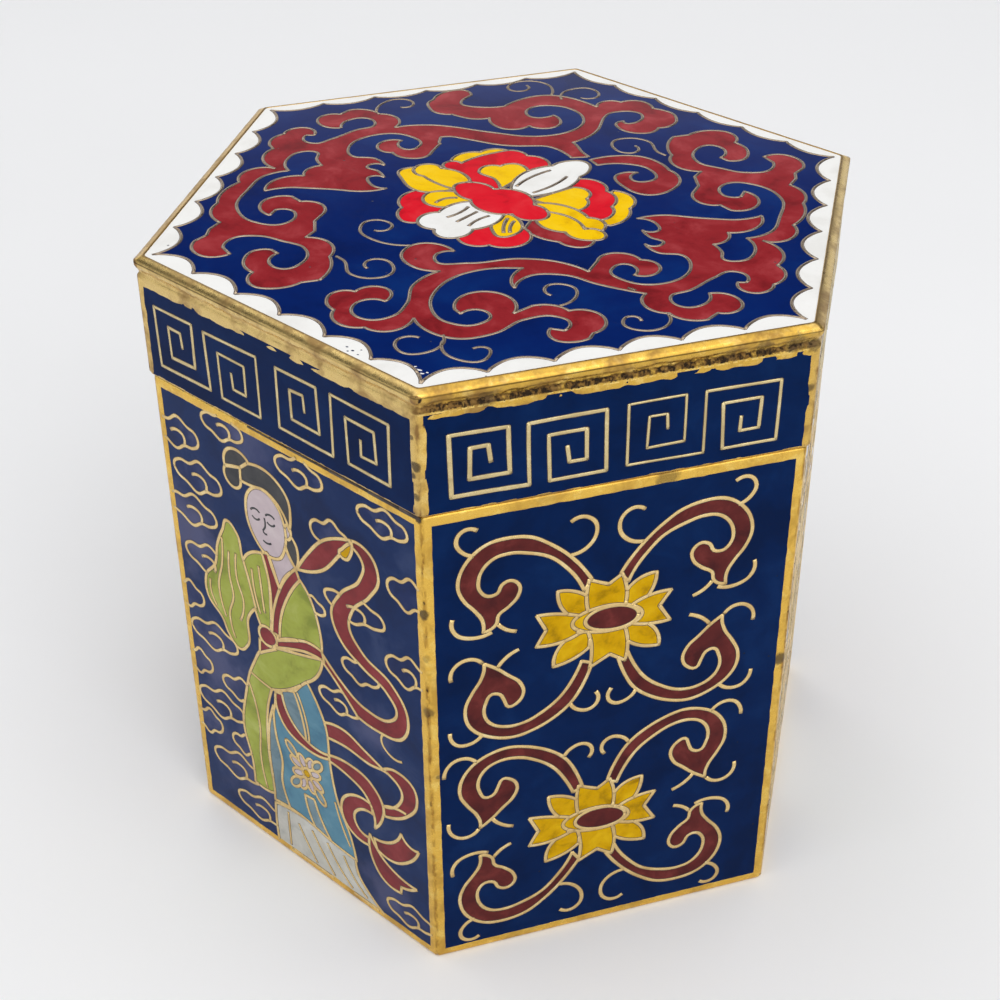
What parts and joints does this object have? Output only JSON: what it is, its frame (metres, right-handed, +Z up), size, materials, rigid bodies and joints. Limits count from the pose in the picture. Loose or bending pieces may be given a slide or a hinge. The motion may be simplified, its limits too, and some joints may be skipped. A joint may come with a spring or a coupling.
{
  "type": "cloisonne enamel box",
  "caption": "Hexagonal hollow box in gilt brass and cloisonne enamel, with a lift-off lid located by a lip inside the mouth.",
  "frame": {"origin": "centre of the underside, on the plane that the box stands on", "axes": "+Z up; face 1, a figure panel, looks along -Y; two corners of the hexagonal plan lie on X"},
  "size_m": [0.0664, 0.0574, 0.0612],
  "materials": {
    "gilt_brass": "polished gilding, worn and darkened in the seams",
    "blue_enamel": "polished glass enamel",
    "turquoise_enamel": "plain glass enamel",
    "red_enamel": "polished glass enamel",
    "bright_red_enamel": "polished glass enamel",
    "maroon_enamel": "polished glass enamel",
    "yellow_enamel": "polished glass enamel",
    "white_enamel": "polished glass enamel, with a few pits",
    "green_enamel": "polished glass enamel",
    "sky_enamel": "polished glass enamel",
    "black_enamel": "polished glass enamel",
    "pale_enamel": "polished glass enamel"
  },
  "bodies": {
    "root": {"box_body": "gilt_brass", "lid": "gilt_brass", "lid_top_enamel": "blue_enamel", "underside_enamel": "turquoise_enamel", "side_enamel_1": "blue_enamel", "side_enamel_2": "blue_enamel", "side_enamel_3": "blue_enamel", "side_enamel_4": "blue_enamel", "side_enamel_5": "blue_enamel", "side_enamel_6": "blue_enamel", "skirt_enamel_1": "blue_enamel", "skirt_enamel_2": "blue_enamel", "skirt_enamel_3": "blue_enamel", "skirt_enamel_4": "blue_enamel", "skirt_enamel_5": "blue_enamel", "skirt_enamel_6": "blue_enamel"}
  },
  "joints": []
}
